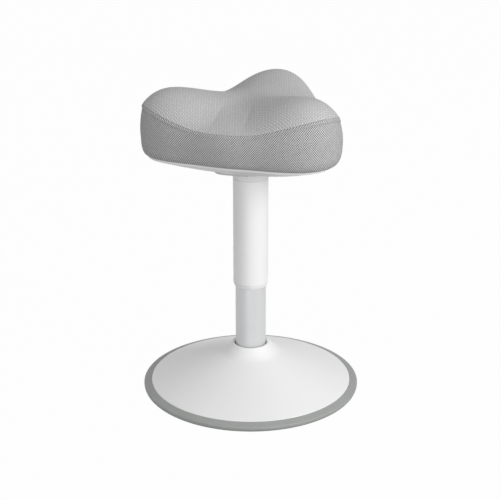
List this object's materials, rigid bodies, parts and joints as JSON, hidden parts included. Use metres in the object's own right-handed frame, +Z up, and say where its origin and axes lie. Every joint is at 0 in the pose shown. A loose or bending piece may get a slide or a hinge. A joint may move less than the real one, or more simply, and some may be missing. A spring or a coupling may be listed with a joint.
{
  "type": "perch stool",
  "caption": "Perch stool with a weighted round foot, a gas lift column under a sleeve, and a swivelling saddle seat with lobes.",
  "frame": {"origin": "centre of the foot at floor level", "axes": "+Z up along the column; +Y towards the seat's high lobe; the seat is mirrored about the plane X = 0"},
  "size_m": [0.359, 0.359, 0.5137],
  "materials": {
    "white_paint": "satin white powder coat",
    "white_plastic": "satin moulded white",
    "grey_rubber": "matt grey rubber",
    "dark_rubber": "matt black rubber",
    "silver_tube": "satin silver grey paint",
    "steel": "zinc plated",
    "bright_steel": "ground and polished",
    "cast_iron": "as cast, dark",
    "black_plastic": "moulded black",
    "plywood": "bare plywood",
    "weave": "woven light grey cloth over foam"
  },
  "bodies": {
    "foot": {"floor_pad": "dark_rubber", "base_ring": "grey_rubber", "base_weight": "cast_iron", "base_cover": "white_paint", "column_socket": "steel", "socket_bolt_1": "steel", "socket_bolt_2": "steel", "socket_bolt_3": "steel", "column_tube": "silver_tube", "tube_end_plate": "steel", "lower_race": "bright_steel", "ball_cage": "bright_steel", "guide_bush": "black_plastic"},
    "rod": {"piston_rod": "bright_steel", "piston": "steel", "retaining_clip": "steel", "upper_race": "bright_steel", "bump_stop": "dark_rubber"},
    "seat": {"gas_cylinder": "steel", "rod_gland": "black_plastic", "sleeve": "white_paint", "sleeve_end_ring": "white_plastic", "sleeve_top_ring": "white_plastic", "seat_hub": "steel", "seat_tray": "white_plastic", "seat_board": "plywood", "tray_screw_1": "steel", "tray_screw_2": "steel", "tray_screw_3": "steel", "hub_bolt_1": "steel", "hub_bolt_2": "steel", "hub_bolt_3": "steel", "hub_bolt_4": "steel", "tee_nut_1": "steel", "tee_nut_2": "steel", "tee_nut_3": "steel", "tee_nut_4": "steel", "lever_pin": "steel", "seat_cushion": "weave"},
    "lever": {"release_lever": "white_plastic"},
    "valve": {"valve_pin": "bright_steel"}
  },
  "joints": [
    {"name": "seat_swivel", "type": "hinge", "parent": "foot", "child": "rod", "pos_m": [0, 0, 0.03], "axis": [0, 0, 1], "continuous": true},
    {"name": "seat_height", "type": "slide", "parent": "rod", "child": "seat", "axis": [0, 0, 1], "range_m": [-0.095, 0]},
    {"name": "lever_pivot", "type": "hinge", "parent": "seat", "child": "lever", "pos_m": [-0.03204, -0.0185, 0.3936], "axis": [-0.5, 0.866, 0], "range_deg": [0, 6], "stiffness_Nm_per_rad": 4},
    {"name": "valve_press", "type": "slide", "parent": "seat", "child": "valve", "axis": [0, 0, -1], "range_m": [0, 0.004]}
  ],
  "couplings": [
    {"joint": "valve_press", "follows": "lever_pivot", "m_per_rad": 0.038}
  ]
}
